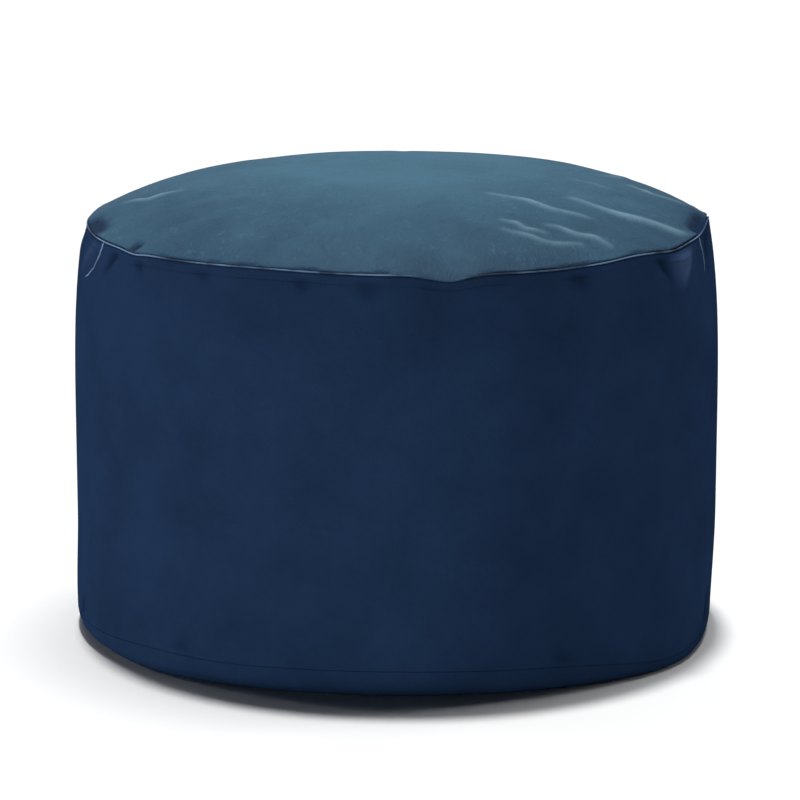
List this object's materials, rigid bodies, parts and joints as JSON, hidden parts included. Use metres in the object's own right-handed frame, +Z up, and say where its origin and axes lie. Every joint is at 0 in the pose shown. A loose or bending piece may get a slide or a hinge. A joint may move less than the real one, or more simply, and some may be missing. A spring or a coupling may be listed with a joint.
{
  "type": "outdoor pouf",
  "caption": "Round drum-shaped outdoor pouf of coated cloth, with a crowned top panel, a side band, a base panel and a thin welt in the top seam.",
  "frame": {"origin": "on the floor, under the middle of the pouf", "axes": "+Z up out of the crown, -Y towards the front of the pouf, +X to its right"},
  "size_m": [0.6015, 0.6, 0.426],
  "materials": {
    "top_cloth": "coated plain-weave polyester, satin, paler where light grazes it",
    "side_cloth": "coated plain-weave polyester, navy, satin",
    "base_cloth": "coated plain-weave polyester, navy, dull",
    "welt_cloth": "folded cloth edge, worn paler"
  },
  "bodies": {
    "root": {"top_panel": "top_cloth", "side_panel": "side_cloth", "base_panel": "base_cloth", "top_welt": "welt_cloth"}
  },
  "joints": []
}
